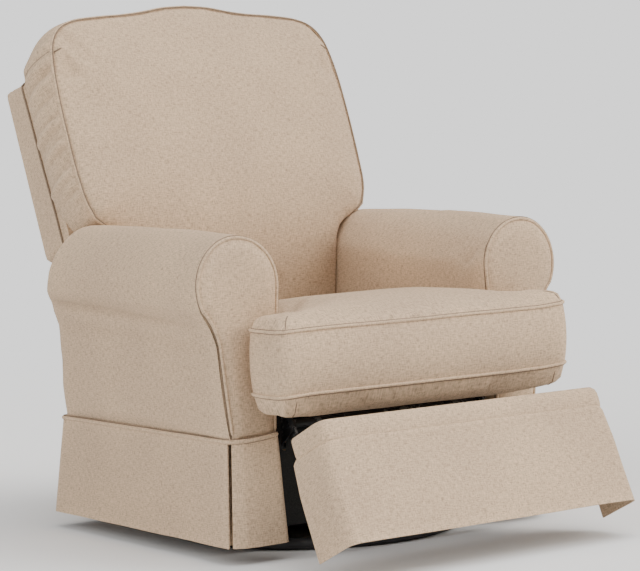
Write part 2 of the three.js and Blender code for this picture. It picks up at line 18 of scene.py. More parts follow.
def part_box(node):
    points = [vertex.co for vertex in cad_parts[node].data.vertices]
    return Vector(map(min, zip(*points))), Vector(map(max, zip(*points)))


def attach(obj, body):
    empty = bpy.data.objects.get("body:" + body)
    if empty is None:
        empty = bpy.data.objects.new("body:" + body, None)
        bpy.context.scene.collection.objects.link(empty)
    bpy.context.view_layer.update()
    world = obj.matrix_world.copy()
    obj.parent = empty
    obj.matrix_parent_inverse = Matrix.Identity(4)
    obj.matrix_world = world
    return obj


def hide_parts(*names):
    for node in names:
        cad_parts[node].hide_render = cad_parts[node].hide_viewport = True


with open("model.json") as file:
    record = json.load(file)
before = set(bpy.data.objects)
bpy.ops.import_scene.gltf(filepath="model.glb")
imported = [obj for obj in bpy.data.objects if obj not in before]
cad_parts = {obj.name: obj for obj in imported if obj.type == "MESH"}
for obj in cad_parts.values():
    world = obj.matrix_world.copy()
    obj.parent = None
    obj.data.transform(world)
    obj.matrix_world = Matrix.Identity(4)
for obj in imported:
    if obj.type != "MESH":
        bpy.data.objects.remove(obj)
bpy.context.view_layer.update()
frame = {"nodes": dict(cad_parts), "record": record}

# ---- places taken from the frame --------------------------------------------------------------

ring_low, ring_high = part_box("base_ring")
AXIS_Y = (ring_low[1] + ring_high[1]) / 2
SIDES = {"left": 1, "right": -1}


def add_object(name, data):
    made = bpy.data.objects.new(name, data)
    bpy.context.scene.collection.objects.link(made)
    return made


def clamp(value):
    return min(1.0, max(0.0, value))


# ---- camera -----------------------------------------------------------------------------------

CAMERA_PLACE = Vector((-2.7246, -3.9663, 0.7901))
CAMERA_FORWARD = Vector((0.56932, 0.81978, -0.06191))
CAMERA_RIGHT = Vector((0.81931, -0.57198, -0.03958))
SENSOR_WIDTH = 36.0
LENS = 132.9


def add_camera():
    data = bpy.data.cameras.new("camera")
    data.sensor_width = SENSOR_WIDTH
    data.lens = LENS
    camera = add_object("camera", data)
    right = CAMERA_RIGHT.normalized()
    up = right.cross(CAMERA_FORWARD).normalized()
    back = right.cross(up).normalized()
    turn = Matrix((right, up, back)).transposed().to_4x4()
    camera.matrix_world = Matrix.Translation(CAMERA_PLACE + Vector((0, AXIS_Y, 0))) @ turn
    bpy.context.scene.camera = camera


add_camera()

# ---- materials --------------------------------------------------------------------------------


class Nodes:
    """A short way to write a node tree."""

    def __init__(self, name):
        self.material = bpy.data.materials.new(name)
        self.material.use_nodes = True
        self.tree = self.material.node_tree
        self.shader = self.tree.nodes["Principled BSDF"]

    def add(self, kind, **values):
        node = self.tree.nodes.new(kind)
        for key, value in values.items():
            setattr(node, key, value)
        return node

    def link(self, source, target):
        self.tree.links.new(source, target)

    def feed(self, sockets, values):
        """Gives each socket its value: a number, a colour or another node's output."""
        for socket, value in zip(sockets, values):
            if isinstance(value, (int, float)):
                socket.default_value = value
            elif isinstance(value, tuple):
                socket.default_value = (*value, 1)
            else:
                self.link(value, socket)

    def shade(self, **values):
        """Feeds the shader's inputs, with underscores for the spaces in their names."""
        self.feed([self.shader.inputs[name.replace("_", " ")] for name in values], values.values())

    def number(self, operation, *values):
        node = self.add("ShaderNodeMath", operation=operation)
        self.feed(node.inputs, values)
        return node.outputs[0]

    def noise(self, vector, scale, detail=2.0, rough=0.5):
        """Noise from 0 to 1, with one scale for all directions or a scale for each."""
        if isinstance(scale, tuple):
            stretch = self.add("ShaderNodeMapping")
            stretch.inputs["Scale"].default_value = scale
            self.link(vector, stretch.inputs["Vector"])
            vector, scale = stretch.outputs["Vector"], 1.0
        node = self.add("ShaderNodeTexNoise")
        sockets = [node.inputs[name] for name in ("Scale", "Detail", "Roughness", "Vector")]
        self.feed(sockets, (scale, detail, rough, vector))
        return node.outputs["Fac"]

    def ramp(self, source, stops):
        node = self.add("ShaderNodeValToRGB")
        elements = node.color_ramp.elements
        while len(elements) < len(stops):
            elements.new(0.5)
        for element, (place, colour) in zip(elements, stops):
            element.position = place
            element.color = (*colour, 1)
        self.link(source, node.inputs["Fac"])
        return node.outputs["Color"]

    def mix(self, factor, first, second, blend="MIX"):
        node = self.add("ShaderNodeMix", data_type="RGBA", blend_type=blend)
        self.feed([node.inputs[i] for i in (0, 6, 7)], (factor, first, second))
        return node.outputs[2]

    def bump(self, height, distance, strength=1.0):
        node = self.add("ShaderNodeBump")
        sockets = [node.inputs[name] for name in ("Height", "Distance", "Strength")]
        self.feed(sockets, (height, distance, strength))
        self.link(node.outputs["Normal"], self.shader.inputs["Normal"])

    def weave_place(self):
        return self.add("ShaderNodeUVMap", uv_map="weave").outputs["UV"]

    def object_place(self):
        return self.add("ShaderNodeTexCoord").outputs["Object"]

    def edges(self):
        """How far a point stands out: above 0.5 on an edge, below it in a crease."""
        return self.add("ShaderNodeNewGeometry").outputs["Pointiness"]


OATMEAL = (0.568, 0.412, 0.276)


def upholstery():
    """Oatmeal linen-look cloth: slubs along both threads, flecks, soft colour drift, a nap rubbed lighter on
    edges, and painted shade darkening the creases.
    """
    n = Nodes("upholstery")
    place = n.weave_place()
    slub_along = n.noise(place, (85, 520, 1), 3, 0.6)
    slub_across = n.noise(place, (520, 95, 1), 3, 0.6)
    fleck = n.noise(place, (300, 300, 1), 2, 0.7)
    slubs = n.number("MULTIPLY", n.number("ADD", slub_along, slub_across), 0.42)
    tone = n.number("MULTIPLY_ADD", fleck, 0.16, slubs)
    shades = [(0.37, 0.52), (0.455, 0.85), (0.53, 1.05), (0.64, 1.30)]
    colour = n.ramp(tone, [(stop, tuple(min(1, c * shade) for c in OATMEAL)) for stop, shade in shades])
    drift = n.ramp(n.noise(n.object_place(), 5.0, 3), [(0.3, (0.90, 0.90, 0.91)), (0.7, (1.02, 1.02, 1.01))])
    # Painted shade: 10% darker where the surface is hollow (pointiness below 0.5). Rubbed nap: 5% lighter on
    # edges.
    pointiness_mark = n.ramp(n.edges(), [(0.48, (0.90, 0.89, 0.88)), (0.5, (1, 1, 1)), (0.53, (1.05, 1.05, 1.05))])
    colour = n.mix(1.0, n.mix(1.0, colour, drift, "MULTIPLY"), pointiness_mark, "MULTIPLY")
    threads = []
    for direction in ("X", "Y"):
        wave = n.add("ShaderNodeTexWave", bands_direction=direction)
        n.feed([wave.inputs[name] for name in ("Scale", "Distortion", "Vector")], (210, 1.2, place))
        threads.append(wave.outputs["Fac"])
    weave = n.number("MULTIPLY", n.number("MAXIMUM", *threads), 0.5)
    n.bump(n.number("MULTIPLY_ADD", tone, 1.6, weave), 0.0006, 0.75)
    n.shade(Base_Color=colour, Roughness=0.92, Specular_IOR_Level=0.18)
    n.shade(Sheen_Weight=0.12, Sheen_Roughness=0.45, Sheen_Tint=(1.0, 0.93, 0.85))
    return n.material


def crease_shade_and_thread():
    """Painted shade of the crease beside a welt, dart or joining seam, with the seam's thread."""
    n = Nodes("crease_shade_and_thread")
    grain = n.noise(n.weave_place(), (300, 300, 1), 2)
    tones = [(0.3, (0.15, 0.105, 0.07)), (0.7, (0.25, 0.18, 0.125))]
    n.bump(grain, 0.0004, 0.6)
    n.shade(Base_Color=n.ramp(grain, tones), Roughness=0.95)
    return n.material


def black_cloth():
    """Thin black spun cloth under the seat, near black so that it also stands in for the shade inside the
    chair.
    """
    n = Nodes("black_cloth")
    grain = n.noise(n.object_place(), (400, 400, 400), 3)
    tones = [(0.3, (0.006, 0.006, 0.006)), (0.7, (0.02, 0.019, 0.018))]
    n.bump(grain, 0.0004, 0.5)
    n.shade(Base_Color=n.ramp(grain, tones), Roughness=0.95)
    return n.material


def black_steel():
    """Black powder coat with a fine orange peel, scuffed towards grey on edges."""
    n = Nodes("black_steel")
    place = n.object_place()
    scuff = n.noise(place, 35.0, 4, 0.7)
    on_edge = n.number("GREATER_THAN", n.edges(), 0.56)
    # Rubbed edges: where an edge meets a scuff, the coat shows grey.
    pointiness_mark = n.number("MULTIPLY", on_edge, n.number("GREATER_THAN", scuff, 0.55))
    coat = n.ramp(scuff, [(0.3, (0.010, 0.010, 0.011)), (0.7, (0.022, 0.022, 0.023))])
    n.bump(n.noise(place, 900.0, 2), 0.0002, 0.4)
    n.shade(Base_Color=n.mix(pointiness_mark, coat, (0.12, 0.12, 0.12)))
    n.shade(Roughness=n.number("MULTIPLY_ADD", scuff, 0.25, 0.30))
    return n.material


def zinc_steel():
    """Zinc plate with drawn marks and dull patches."""
    n = Nodes("zinc_steel")
    place = n.object_place()
    marks = n.noise(place, (40, 900, 900), 3)
    patches = n.ramp(n.noise(place, 60.0, 3), [(0.3, (0.34, 0.34, 0.36)), (0.7, (0.52, 0.52, 0.53))])
    n.bump(marks, 0.0001, 0.3)
    n.shade(Base_Color=patches, Roughness=n.number("MULTIPLY_ADD", marks, 0.25, 0.28), Metallic=1.0)
    return n.material


def frame_wood():
    """Sawn hardwood: long grain, pores and darker heart streaks."""
    n = Nodes("frame_wood")
    place = n.object_place()
    streaks = n.noise(place, (60, 3, 60), 5, 0.6)
    pores = n.noise(place, (900, 40, 900), 2)
    grain = n.number("MULTIPLY_ADD", pores, 0.35, n.number("MULTIPLY", streaks, 0.75))
    tones = [(0.35, (0.20, 0.115, 0.055)), (0.55, (0.36, 0.23, 0.12)), (0.75, (0.50, 0.35, 0.20))]
    n.bump(grain, 0.0005, 0.5)
    n.shade(Base_Color=n.ramp(grain, tones), Roughness=0.72)
    return n.material


CLOTH = upholstery()
STEEL = black_steel()
# A finish is a piece's material slot and its material.
COVER = ("upholstery", CLOTH)
# Thin dark tubes: painted shade in the creases beside welts and seams, with the thread of darts and seams.
CREASE_SHADE_AND_THREAD = ("upholstery", crease_shade_and_thread())
# Near-black lining and dust cloth; under the seat it also stands in for the shade there.
LINING = ("foam", black_cloth())
CAD_FINISH = {
    "black_steel": STEEL, "plain_steel": zinc_steel(), "hardwood": frame_wood(),
    "upholstery": CLOTH, "foam": CLOTH,
}
SLOT_OF = {part["node"]: part["material_slot"] for part in frame["record"]["subparts"]}


def paint_cad_nodes():
    for name, node in frame["nodes"].items():
        node.data.materials.clear()
        node.data.materials.append(CAD_FINISH[SLOT_OF[name]])


paint_cad_nodes()

# ---- mesh building ----------------------------------------------------------------------------


SAME_POINT = 2e-5
WELT = 0.0032


class Shell:
    """Points, faces and weave coordinates (metres of cloth) of a piece that is being made."""

    def __init__(self):
        self.points = []
        self.faces = []
        self.weave = []

    def grid(self, rows, closed=False):
        """A net of rows of points, each as long. The weave follows the rows and crosses them."""
        rows = np.array(rows, float)
        if closed:
            rows = np.concatenate([rows, rows[:, :1]], axis=1)
        count, width = rows.shape[:2]
        along = np.linalg.norm(np.diff(rows, axis=1), axis=2).mean(axis=0)
        down = np.linalg.norm(np.diff(rows, axis=0), axis=2).mean(axis=1)
        u = np.concatenate([[0], np.cumsum(along)])
        v = np.concatenate([[0], np.cumsum(down)])
        first = len(self.points)
        self.points.extend(map(tuple, rows.reshape(-1, 3)))
        for i in range(count - 1):
            for j in range(width - 1):
                corners = ((i, j), (i, j + 1), (i + 1, j + 1), (i + 1, j))
                self.faces.append([first + a * width + b for a, b in corners])
                self.weave.append([(u[b], v[a]) for a, b in corners])
        return self

    def panel(self, flat, triangles, place):
        """Triangles of flat cloth points, each put at place(point)."""
        first = len(self.points)
        self.points.extend(place(p) for p in flat)
        for triangle in triangles:
            self.faces.append([first + i for i in triangle])
            self.weave.append([tuple(flat[i]) for i in triangle])
        return self


def make(name, shell, body, finish=COVER, smooth=45, thick=0.0):
    """Turns a shell into a piece on a body. thick > 0 gives an open shell that thickness."""
    slot, material = finish
    mesh = bpy.data.meshes.new(name)
    mesh.from_pydata([(x, y + AXIS_Y, z) for x, y, z in shell.points], [], shell.faces)
    layer = mesh.uv_layers.new(name="weave")
    layer.data.foreach_set("uv", np.array([c for face in shell.weave for c in face], float).ravel())
    net = bmesh.new()
    net.from_mesh(mesh)
    bmesh.ops.remove_doubles(net, verts=net.verts, dist=SAME_POINT)
    bmesh.ops.recalc_face_normals(net, faces=net.faces)
    net.to_mesh(mesh)
    net.free()
    mesh.materials.append(material)
    piece = add_object(name, mesh)
    if thick:
        solid = piece.modifiers.new("thickness", "SOLIDIFY")
        solid.thickness = thick
        solid.offset = 0
        keep_modified(piece)
    piece.data.polygons.foreach_set("use_smooth", [True] * len(piece.data.polygons))
    piece.data.set_sharp_from_angle(angle=math.radians(smooth))
    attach(piece, body)
    return piece


def keep_modified(piece):
    """Gives a piece the mesh that its modifiers make of it, and takes the modifiers off."""
    bpy.context.view_layer.update()
    shown = piece.evaluated_get(bpy.context.evaluated_depsgraph_get())
    plain = piece.data
    piece.data = bpy.data.meshes.new_from_object(shown)
    piece.modifiers.clear()
    bpy.data.meshes.remove(plain)
    piece.data.name = piece.name


def evenly(points, count, closed=False):
    """count + 1 points at even steps along a line of 2-D or 3-D points, or count round a closed one."""
    line = np.array(points, float)
    if closed:
        line = np.vstack([line, line[:1]])
    steps = np.linalg.norm(np.diff(line, axis=0), axis=1)
    length = np.concatenate([[0], np.cumsum(steps)])
    at = np.linspace(0, length[-1], count + 1)
    if closed:
        at = at[:-1]
    return np.stack([np.interp(at, length, line[:, k]) for k in range(line.shape[1])], axis=1)


def spread(points, spacing, closed=True):
    """Points about a spacing apart along a line."""
    line = np.array([*points, points[0]] if closed else points, float)
    length = np.linalg.norm(np.diff(line, axis=0), axis=1).sum()
    return evenly(points, max(3, int(round(length / spacing))), closed)


def bend(start, control, end, t):
    """A point of the curve that leaves start towards control and turns to end."""
    return tuple(start * (1 - t) ** 2 + control * 2 * t * (1 - t) + end * t * t)


def rounded(corners, steps=6):
    """A closed outline of (a, b, radius) corners, each turned with its radius."""
    points = []
    for i, (a, b, radius) in enumerate(corners):
        here = Vector((a, b))
        before = Vector(corners[i - 1][:2]) - here
        after = Vector(corners[(i + 1) % len(corners)][:2]) - here
        reach = radius / math.tan(before.angle(after) / 2)
        start = here + before.normalized() * reach
        end = here + after.normalized() * reach
        points += [bend(start, here, end, k / steps) for k in range(steps + 1)]
    return points


def smooth_line(points, steps=8):
    """A smooth open line through the points."""
    line = [Vector(p) for p in points]
    padded = [line[0] * 2 - line[1], *line, line[-1] * 2 - line[-2]]
    out = []
    for p0, p1, p2, p3 in zip(padded, padded[1:], padded[2:], padded[3:]):
        for k in range(steps):
            t = k / steps
            out.append(0.5 * ((2 * p1) + (p2 - p0) * t + (2 * p0 - 5 * p1 + 4 * p2 - p3) * t * t
                              + (3 * p1 - p0 - 3 * p2 + p3) * t ** 3))
    out.append(line[-1])
    return [tuple(p) for p in out]


def fill(outline, spacing):
    """(points, triangles, distance of each point to the outline) of a flat panel."""
    outline = np.array(outline, float)
    low, high = outline.min(axis=0), outline.max(axis=0)
    step_b = spacing * math.sqrt(3) / 2
    inside = []
    for row, b in enumerate(np.arange(low[1] + step_b, high[1], step_b)):
        offset = spacing / 2 if row % 2 else 0
        inside.extend((a, b) for a in np.arange(low[0] + offset, high[0], spacing))
    inside = np.array(inside)
    keep = is_inside(inside, outline) & (edge_distance(inside, outline) > spacing * 0.6)
    points = [Vector(p) for p in outline] + [Vector(p) for p in inside[keep]]
    count = len(outline)
    edges = [(i, (i + 1) % count) for i in range(count)]
    found, _, triangles, *_ = delaunay_2d_cdt(points, edges, [], 1, 1e-7)
    found = np.array([tuple(p) for p in found])
    return found, triangles, edge_distance(found, outline)


def is_inside(points, outline):
    result = np.zeros(len(points), bool)
    for (x0, y0), (x1, y1) in zip(outline, np.roll(outline, -1, axis=0)):
        crosses = (y0 > points[:, 1]) != (y1 > points[:, 1])
        with np.errstate(divide="ignore", invalid="ignore"):
            at = (x1 - x0) * (points[:, 1] - y0) / (y1 - y0) + x0
        result ^= crosses & (points[:, 0] < at)
    return result


def edge_distance(points, outline):
    best = np.full(len(points), 1e9)
    for start, end in zip(outline, np.roll(outline, -1, axis=0)):
        along = end - start
        size = max(along @ along, 1e-12)
        t = np.clip((points - start) @ along / size, 0, 1)
        best = np.minimum(best, np.linalg.norm(points - start - t[:, None] * along, axis=1))
    return best


def dome(distance, reach):
    """0 at a seam, rising steeply and levelling off to 1 at reach from it."""
    t = np.clip(np.asarray(distance) / reach, 0, 1)
    return np.sqrt(1 - (1 - t) ** 2)


def values_at(flat, values):
    """A function that gives each of a panel's flat points its own value."""
    table = {tuple(np.round(p, 6)): value for p, value in zip(flat, values)}
    return lambda p: table[tuple(np.round(p, 6))]


def ribbon(outline, count, place):
    """Rows of place(point, outward normal, t) round an outline, from t = 0 to t = 1."""
    pairs = list(zip(outline, outline_normals(outline)))
    return [[place(p, outward, k / count) for p, outward in pairs] for k in range(count + 1)]


def pad(half, heights, radii, spacing, crown, thick, layers, place):
    """A closed pad with rounded corners: place(a, b, depth) puts its points, and crown is (height, reach)."""
    low, high = zip(heights, radii)
    outline = spread(rounded([(-half, *low), (half, *low), (half, *high), (-half, *high)]), spacing[0])
    flat, triangles, distance = fill(outline, spacing[1])
    swell = values_at(flat, crown[0] * dome(distance, crown[1]))
    shell = Shell()
    shell.panel(flat, triangles, lambda p: place(*p, -swell(p)))
    shell.panel(flat, triangles, lambda p: place(*p, thick))
    return shell.grid(ribbon(outline, layers, lambda p, outward, t: place(*p, thick * t)), closed=True)


def tube(name, line, radius, body, finish=COVER, closed=False, sides=8):
    """A round welt or wire along a line."""
    line = np.array(line, float)
    last = len(line) - 1
    if closed:
        ahead, behind = np.roll(line, -1, axis=0), np.roll(line, 1, axis=0)
    else:
        ahead, behind = np.vstack([line[1:], line[-1:]]), np.vstack([line[:1], line[:-1]])
    along = ahead - behind
    along /= np.linalg.norm(along, axis=1)[:, None]
    normal = np.cross(along[0], (0.31, 0.52, 0.79))
    angles = np.linspace(0, 2 * math.pi, sides, endpoint=False)
    rows = []
    for i, centre in enumerate(line):
        normal = normal - along[i] * (normal @ along[i])
        normal /= np.linalg.norm(normal)
        across = np.cross(along[i], normal)
        size = radius * (0.35 if not closed and i in (0, last) else 1)
        rows.append([centre + size * (math.cos(a) * normal + math.sin(a) * across) for a in angles])
    if closed:
        return make(name, Shell().grid(match_end(rows), closed=True), body, finish, smooth=80)
    shell = Shell().grid(rows, closed=True)
    for row in (rows[0], rows[-1]):
        first = len(shell.points)
        shell.points.extend(map(tuple, row))
        shell.faces.append(list(range(first, first + sides)))
        shell.weave.append([(0, 0)] * sides)
    return make(name, shell, body, finish, smooth=80)


def match_end(rows):
    """Closes a tube's net, turning its last ring to the point of the first that is nearest."""
    first = np.array(rows[0])
    last = np.array(rows[-1])
    shifts = [np.linalg.norm(np.roll(first, k, axis=0) - last) for k in range(len(first))]
    return rows + [np.roll(first, int(np.argmin(shifts)), axis=0)]


def inflate(piece, seams, cap, pressure=4.0, frames=20):
    """Swells a closed cover with the cloth solver, held along its seams, and keeps the result."""
    tree = KDTree(len(seams))
    for i, (x, y, z) in enumerate(seams):
        tree.insert((x, y + AXIS_Y, z), i)
    tree.balance()
    held = [v.index for v in piece.data.vertices if tree.find(v.co)[2] < 0.0015]
    piece.vertex_groups.new(name="held").add(held, 1.0, "REPLACE")
    cloth = piece.modifiers.new("cloth", "CLOTH")
    settings = cloth.settings
    settings.use_pressure = True
    settings.uniform_pressure_force = pressure
    settings.effector_weights.gravity = 0
    settings.vertex_group_mass = "held"
    settings.quality = 6
    cloth.collision_settings.use_collision = False
    cloth.point_cache.frame_start = 1
    cloth.point_cache.frame_end = frames
    scene = bpy.context.scene
    for number in range(1, frames + 1):
        scene.frame_set(number)
    shown = piece.evaluated_get(bpy.context.evaluated_depsgraph_get())
    before = np.array([v.co for v in piece.data.vertices])
    after = np.array([v.co for v in shown.data.vertices])
    piece.modifiers.clear()
    scene.frame_set(1)
    move = after - before
    size = np.linalg.norm(move, axis=1)
    move *= (np.minimum(size, cap) / np.maximum(size, 1e-9))[:, None]
    piece.data.vertices.foreach_set("co", (before + move).ravel())
    piece.data.update()


def sway(point, size, seed):
    """Soft irregularity: a smooth random number from -1 to 1."""
    x, y, z = point
    return noise.noise(Vector((x / size + seed, y / size - seed, z / size + 2 * seed)))


def on_surface(piece, points, direction, lift):
    """The points pushed along a direction onto a piece, then back out by lift."""
    out = []
    ray = Vector(direction).normalized()
    for x, y, z in points:
        start = Vector((x, y + AXIS_Y, z)) - ray * 0.2
        hit, place, normal, _ = piece.ray_cast(start, ray)
        if hit:
            place = place + normal * lift
            out.append((place.x, place.y - AXIS_Y, place.z))
    return out


def outline_normals(outline):
    """Outward unit normals of a closed plan outline that runs anticlockwise or clockwise."""
    along = np.roll(outline, -1, axis=0) - np.roll(outline, 1, axis=0)
    normal = np.stack([along[:, 1], -along[:, 0]], axis=1)
    normal /= np.linalg.norm(normal, axis=1)[:, None]
    area = np.sum(outline[:, 0] * np.roll(outline[:, 1], -1) - np.roll(outline[:, 0], -1) * outline[:, 1])
    return normal if area > 0 else -normal


def line_normals(line):
    """Unit normals of an open plan line."""
    along = np.gradient(line, axis=0)
    normal = np.stack([along[:, 1], -along[:, 0]], axis=1)
    return normal / np.linalg.norm(normal, axis=1)[:, None]


def seam_run(outline, lowest):
    """The outline's points above a height, in order from one end of the run to the other."""
    keep = [i for i, (_, height) in enumerate(outline) if height > lowest]
    start = next(i for i in keep if i - 1 not in keep and (i or len(outline) - 1 not in keep))
    return [(start + k) % len(outline) for k in range(len(keep))]


def mirrored(half):
    """A whole outline from its half on the +X side: the half, then its mirror image back again."""
    return [*half, *((-a, b) for a, b in reversed(half))]


def welt(name, line, outward, across, body, shaded=1, closed=False):
    """A welt along a seam, with a thin dark tube of painted shade for a deep crease on its shaded side and a
    fine one on the other.
    """
    line = np.array(line, float)
    tube(name, line + outward * WELT * 0.35, WELT, body, closed=closed)
    # The creases are dark tubes of painted shade beside the cord.
    for word, way, thick, sunk in (("deep", shaded, 0.0013, 0.0), ("fine", -shaded, 0.0009, 0.25)):
        crease = line + across * way * WELT * 1.02 - outward * WELT * sunk
        tube(f"{name}_{word}_crease", crease, thick, body, CREASE_SHADE_AND_THREAD, closed=closed, sides=6)


def crumple(piece, depth):
    """Divides a cover's faces once and moves each point out by depth(x, y, z)."""
    divide = piece.modifiers.new("divide", "SUBSURF")
    divide.levels = 1
    keep_modified(piece)
    normals = [vertex.normal.copy() for vertex in piece.data.vertices]
    for vertex, normal in zip(piece.data.vertices, normals):
        x, y, z = vertex.co
        vertex.co += normal * depth(x, y - AXIS_Y, z)
    piece.data.update()


# ---- seat cushion -----------------------------------------------------------------------------

SEAT = {
    "front": -0.405, "ear_rear": -0.288, "rear": 0.222, "ear_x": 0.345, "body_x": 0.250,
    "top_seam": 0.4435, "bottom_seam": 0.3235, "top": 0.041, "bottom": 0.042,
}


def seat_outline():
    """The T-shaped plan of the cushion's seams, its front edge bowed a little."""
    ear, body = SEAT["ear_x"], SEAT["body_x"]
    front, step, rear = SEAT["front"], SEAT["ear_rear"], SEAT["rear"]
    corners = [
        (-ear, front, 0.028), (0, front - 0.007, 0.5), (ear, front, 0.028),
        (ear, step, 0.034), (body, step, 0.012), (body, rear, 0.030),
        (-body, rear, 0.030), (-body, step, 0.012), (-ear, step, 0.034),
    ]
    return spread(rounded(corners), 0.010)


def on_ears(y):
    return y < SEAT["ear_rear"] + 0.02


def seat_seam(p, word):
    """The height of a seam: lifted at one front corner, sunk at the other, the top one falling rearwards."""
    x, y = p
    level = SEAT[f"{word}_seam"]
    corner = max(0.0, abs(x) / SEAT["ear_x"] - 0.72) / 0.28
    lift = (0.006 if x > 0 else -0.003) * corner ** 2 * on_ears(y)
    fall = 0.045 * max(0.0, (y + 0.22) / 0.44) ** 1.1 if word == "top" else 0.0
    return level + lift - fall + 0.0013 * sway((x, y, level), 0.09, 3)


def seat_boxing(p, outward, t):
    """A point of the seat's boxing, from its top seam (t = 0) to its bottom one."""
    x, y = p
    on_side = abs(outward[0]) * (x * outward[0] > 0)
    bulge = (0.011 - 0.008 * on_side) * math.sin(math.pi * t) ** 0.8 * (1 if on_ears(y) else 0.25)
    near_seams = math.exp(-t / 0.18) + math.exp((t - 1) / 0.18)
    pucker = 0.0012 * sway((x, y, 0), 0.022, 5) * near_seams * math.sin(math.pi * min(1, 8 * t * (1 - t)))
    top, bottom = seat_seam(p, "top"), seat_seam(p, "bottom")
    return (*(p + outward * (bulge + pucker)), top + (bottom - top) * t)


def seat_cushion():
    """The T-cushion: crowned panels, boxing between two welts, and darts at its front corners."""
    outline = seat_outline()
    flat, triangles, distance = fill(outline, 0.011)
    steep_edge = 0.012 * dome(distance, 0.02) * np.exp(-distance / 0.06)
    on_ear = np.clip((np.abs(flat[:, 0]) - 0.27) / 0.06, 0, 1)
    top_crown = values_at(flat, SEAT["top"] * dome(distance, 0.13) + steep_edge * on_ear)
    bottom_crown = values_at(flat, SEAT["bottom"] * dome(distance, 0.034) ** 0.8)

    def top_place(p):
        return (*p, seat_seam(p, "top") + top_crown(p) * (1 - 0.22 * (p[0] / SEAT["ear_x"]) ** 2))

    def bottom_place(p):
        return (*p, seat_seam(p, "bottom") - bottom_crown(p))

    rows = ribbon(outline, 12, seat_boxing)
    shell = Shell().panel(flat, triangles, top_place).panel(flat, triangles, bottom_place)
    shell.grid(rows, closed=True)
    piece = make("seat_cushion_cover", shell, "seat_body")
    inflate(piece, rows[0] + rows[-1], cap=0.005, pressure=3.0)
    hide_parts("seat_cushion")
    outward = np.column_stack([outline_normals(outline), np.zeros(len(outline))])
    up = np.array((0.0, 0.0, 1.0))
    for word, row in (("top", rows[0]), ("bottom", rows[-1])):
        welt(f"seat_welt_{word}", row, outward, up, "seat_body", shaded=-1, closed=True)
    seat_darts(piece)


def seat_darts(piece):
    """A short sewn dart on the top and the bottom of each front corner."""
    darts = (
        # seam, way to look for the cloth, x at the seam, length, share of it that runs inwards
        ("top", -1, 0.330, 0.026, 0.95),
        ("bottom", 1, 0.310, 0.024, 0.1),
    )
    front = SEAT["front"] + 0.004
    for side, sign in SIDES.items():
        for word, way, x, length, inward in darts:
            seam = SEAT[f"{word}_seam"]
            steps = length * np.linspace(0, 1, 9)
            path = [(sign * (x - inward * step), front + step, seam) for step in steps]
            line = on_surface(piece, path, (0, 0, way), -0.0003)
            # A thin dark tube: the dart's thread and the painted shade in its crease.
            tube(f"seat_dart_{word}_{side}", line, 0.0013, "seat_body", CREASE_SHADE_AND_THREAD)


# ---- back -------------------------------------------------------------------------------------

LEAN = math.radians(21)
BACK_PLACE = (0.247, 0.600)
WELT_FOOT = 0.030


def on_back(u, v, w):
    """A point given across the back, up it and out of its front, in the chair's frame."""
    y0, z0 = BACK_PLACE
    return (u, y0 + v * math.sin(LEAN) - w * math.cos(LEAN), z0 + v * math.cos(LEAN) + w * math.sin(LEAN))


def back_place(x, y, z):
    """The reverse of on_back: how far across the back, up it and out of its front a point lies."""
    along, up = y - BACK_PLACE[0], z - BACK_PLACE[1]
    return x, along * math.sin(LEAN) + up * math.cos(LEAN), up * math.sin(LEAN) - along * math.cos(LEAN)


def tuck(v):
    """How far the lower front of the back falls behind its upper plane, down behind the seat."""
    below = 0.012 - v
    return 0.48 * (below + math.sqrt(below * below + 0.0016)) / 2


def boxing_rear(v):
    """The plane of the boxing's rear seam, which lies further back towards the top."""
    heights = [0.0, 0.10, 0.20, 0.33, 0.40, 0.50]
    return float(np.interp(v, heights, [-0.112, -0.116, -0.124, -0.131, -0.136, -0.138]))


def frame_rear(v):
    """The rear face of the back's frame, which is a little deeper at the top."""
    return -0.199 - 0.010 * clamp(v / 0.4)


def back_outline():
    """The outline of the back cushion's front panel: wings over the arms, straight sides, camel top."""
    side = smooth_line([
        (0.336, 0.050), (0.351, 0.095), (0.3565, 0.160), (0.3585, 0.240), (0.3575, 0.330), (0.3525, 0.400),
        (0.342, 0.443), (0.318, 0.474), (0.280, 0.490), (0.225, 0.497), (0.160, 0.502), (0.105, 0.509),
        (0.055, 0.518), (0.0, 0.522),
    ])
    wing = [(0.254, -0.222), (0.258, -0.05), (0.260, -0.016), (0.268, 0.004), (0.287, 0.020), (0.315, 0.034)]
    return spread(mirrored(wing + side), 0.010)


def corner_cut(u, v, t):
    """The boxing's upper corners are cut back towards its rear seam (t = 1)."""
    near = math.exp(-((abs(u) - 0.340) / 0.045) ** 2 - ((v - 0.465) / 0.045) ** 2)
    cut = 0.005 * near * t
    return u - math.copysign(cut, u), v - cut


def puckers(u, v, t):
    """Folds across the boxing's sides: soft swells with sharp valleys, running down towards the rear."""
    if not 0 < t < 1:
        return 0.0
    fold = sway((v + 0.018 * t, 0.010 * t, math.copysign(0.2, u)), 0.021, 23)
    near_seams = math.exp(-t / 0.30) + 0.6 * math.exp((t - 1) / 0.34)
    above_arms, below_top = (v - 0.08) / 0.07, (0.455 - v) / 0.05
    fade = clamp(min(5 * t * (1 - t), above_arms, below_top))
    return (0.034 * fold - 0.004 * math.exp(-(fold / 0.10) ** 2)) * near_seams * fade


def front_seam(u, v):
    return -tuck(v) + 0.0015 * sway((u, v, 0), 0.08, 11)


def rear_seam(u, v):
    return boxing_rear(v) + 0.004 * sway((u, v, 0.3), 0.045, 17)


def back_boxing(p, outward, t):
    """A point of the back's boxing, from its front seam (t = 0) to its rear one."""
    above_wing = clamp((p[1] - 0.02) / 0.04)
    bulge = above_wing * (0.010 + 0.006 * clamp(p[1] / 0.4)) * math.sin(math.pi * t) ** 0.6
    front, rear = front_seam(*p), rear_seam(*p)
    return on_back(*corner_cut(*(p + outward * bulge), t), front + (rear - front) * t)


def fold_depth(x, y, z):
    u, v, w = back_place(x, y, z)
    return puckers(u, v, (front_seam(u, v) - w) / (front_seam(u, v) - rear_seam(u, v)))


